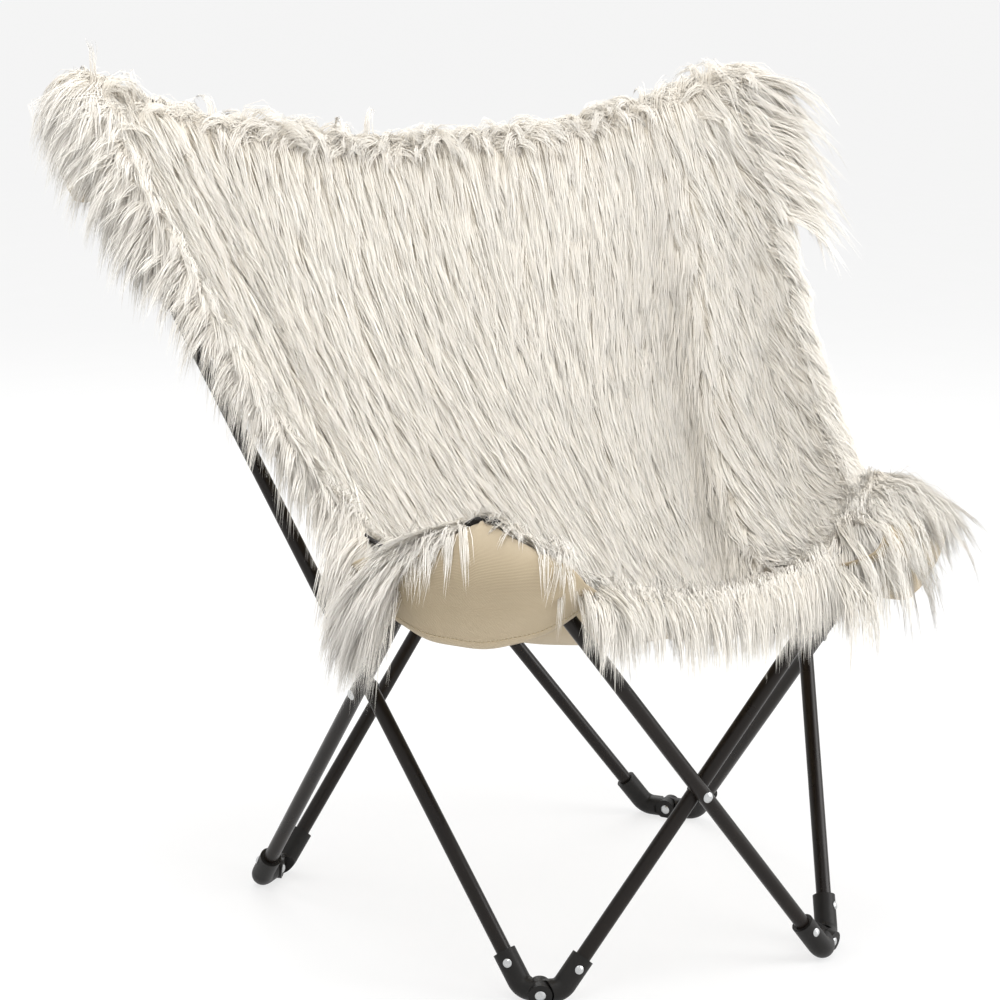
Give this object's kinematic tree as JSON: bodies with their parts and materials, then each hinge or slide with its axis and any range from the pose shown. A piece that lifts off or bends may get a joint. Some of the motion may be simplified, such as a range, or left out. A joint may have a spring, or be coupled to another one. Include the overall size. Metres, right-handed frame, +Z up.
{
  "type": "folding butterfly chair",
  "caption": "Folding butterfly chair: scissor frame of crossed steel tubes on hinged moulded feet, with a long-pile sling seat hung from its corners by canvas pockets.",
  "frame": {"origin": "on the floor under the middle of the chair's box", "axes": "+Z up, -Y towards the front, +X towards the right as seen from in front"},
  "size_m": [0.9374, 0.7344, 0.9059],
  "materials": {
    "tube": "satin black powder coat",
    "moulding": "satin black moulding",
    "zinc": "bright zinc",
    "pile": "long ivory pile",
    "canvas": "plain-weave beige canvas",
    "binding": "black twill tape"
  },
  "bodies": {
    "base": {"back_left_pocket": "canvas", "back_right_pocket": "canvas", "canvas_lining": "canvas", "edge_binding": "binding", "front_left_pocket": "canvas", "front_pivot_rivet": "zinc", "front_right_pocket": "canvas", "fur_cover": "pile"},
    "front_inner": {"front_left_foot_rivet": "zinc", "front_rail_inner": "tube", "front_rail_inner_foot_elbow": "moulding", "front_rail_inner_sleeve_rivets": "zinc", "front_rail_inner_top_cap": "moulding"},
    "front_outer": {"front_rail_outer": "tube", "front_rail_outer_foot_elbow": "moulding", "front_rail_outer_sleeve_rivets": "zinc", "front_rail_outer_top_cap": "moulding", "front_right_foot_rivet": "zinc"},
    "left_long": {"left_pivot_rivet": "zinc", "left_rail_long": "tube", "left_rail_long_foot_elbow": "moulding", "left_rail_long_sleeve_rivets": "zinc", "left_rail_long_top_cap": "moulding"},
    "right_long": {"right_pivot_rivet": "zinc", "right_rail_long": "tube", "right_rail_long_foot_elbow": "moulding", "right_rail_long_sleeve_rivets": "zinc", "right_rail_long_top_cap": "moulding"},
    "left_short": {"back_left_foot_rivet": "zinc", "left_rail_short": "tube", "left_rail_short_foot_elbow": "moulding", "left_rail_short_sleeve_rivets": "zinc", "left_rail_short_top_cap": "moulding"},
    "right_short": {"back_right_foot_rivet": "zinc", "right_rail_short": "tube", "right_rail_short_foot_elbow": "moulding", "right_rail_short_sleeve_rivets": "zinc", "right_rail_short_top_cap": "moulding"},
    "back_inner": {"back_pivot_rivet_inner": "zinc", "back_rail_inner": "tube", "back_rail_inner_foot_elbow": "moulding", "back_rail_inner_sleeve_rivets": "zinc", "back_rail_inner_top_cap": "moulding"},
    "back_outer": {"back_pivot_rivet_outer": "zinc", "back_rail_outer": "tube", "back_rail_outer_foot_elbow": "moulding", "back_rail_outer_sleeve_rivets": "zinc", "back_rail_outer_top_cap": "moulding"}
  },
  "joints": [
    {"name": "frame_fold", "type": "hinge", "parent": "base", "child": "front_inner", "pos_m": [0, -0.32283, 0.20023], "axis": [0, -0.9999, -0.0148], "range_deg": [0, 34], "deforming": ["fur_cover", "canvas_lining", "edge_binding", "front_left_pocket", "front_right_pocket", "back_left_pocket", "back_right_pocket"]},
    {"name": "front_outer_fold", "type": "hinge", "parent": "base", "child": "front_outer", "pos_m": [0, -0.32283, 0.20023], "axis": [0, 0.9999, 0.0148], "range_deg": [0, 34.05]},
    {"name": "front_left_foot_hinge", "type": "hinge", "parent": "front_inner", "child": "left_long", "pos_m": [-0.172, -0.3053, 0.0115], "axis": [0.4212, 0.8912, 0.1685], "range_deg": [0, 52.73]},
    {"name": "front_right_foot_hinge", "type": "hinge", "parent": "front_outer", "child": "right_long", "pos_m": [0.172, -0.3053, 0.0115], "axis": [0.4212, -0.8912, -0.1685], "range_deg": [0, 52.73]},
    {"name": "left_crossing", "type": "hinge", "parent": "left_long", "child": "left_short", "pos_m": [-0.27537, -0.10663, 0.28728], "axis": [-0.9675, -0.1892, -0.1677], "range_deg": [0, 50.12]},
    {"name": "right_crossing", "type": "hinge", "parent": "right_long", "child": "right_short", "pos_m": [0.27537, -0.10663, 0.28728], "axis": [-0.9675, 0.1892, 0.1677], "range_deg": [0, 50.12]},
    {"name": "back_left_foot_hinge", "type": "hinge", "parent": "left_short", "child": "back_inner", "pos_m": [-0.26, 0.1667, 0.0115], "axis": [0.8325, -0.5427, -0.1115], "range_deg": [0, 43.7]},
    {"name": "back_right_foot_hinge", "type": "hinge", "parent": "right_short", "child": "back_outer", "pos_m": [0.26, 0.1667, 0.0115], "axis": [0.8325, 0.5427, 0.1115], "range_deg": [0, 43.7]}
  ],
  "couplings": [
    {"joint": "front_outer_fold", "follows": "frame_fold", "ratio": 1},
    {"joint": "front_left_foot_hinge", "follows": "frame_fold", "ratio": 1.5494},
    {"joint": "front_right_foot_hinge", "follows": "frame_fold", "ratio": 1.5494},
    {"joint": "left_crossing", "follows": "frame_fold", "ratio": 1.4726},
    {"joint": "right_crossing", "follows": "frame_fold", "ratio": 1.4726},
    {"joint": "back_left_foot_hinge", "follows": "frame_fold", "ratio": 1.2838},
    {"joint": "back_right_foot_hinge", "follows": "frame_fold", "ratio": 1.2838}
  ]
}
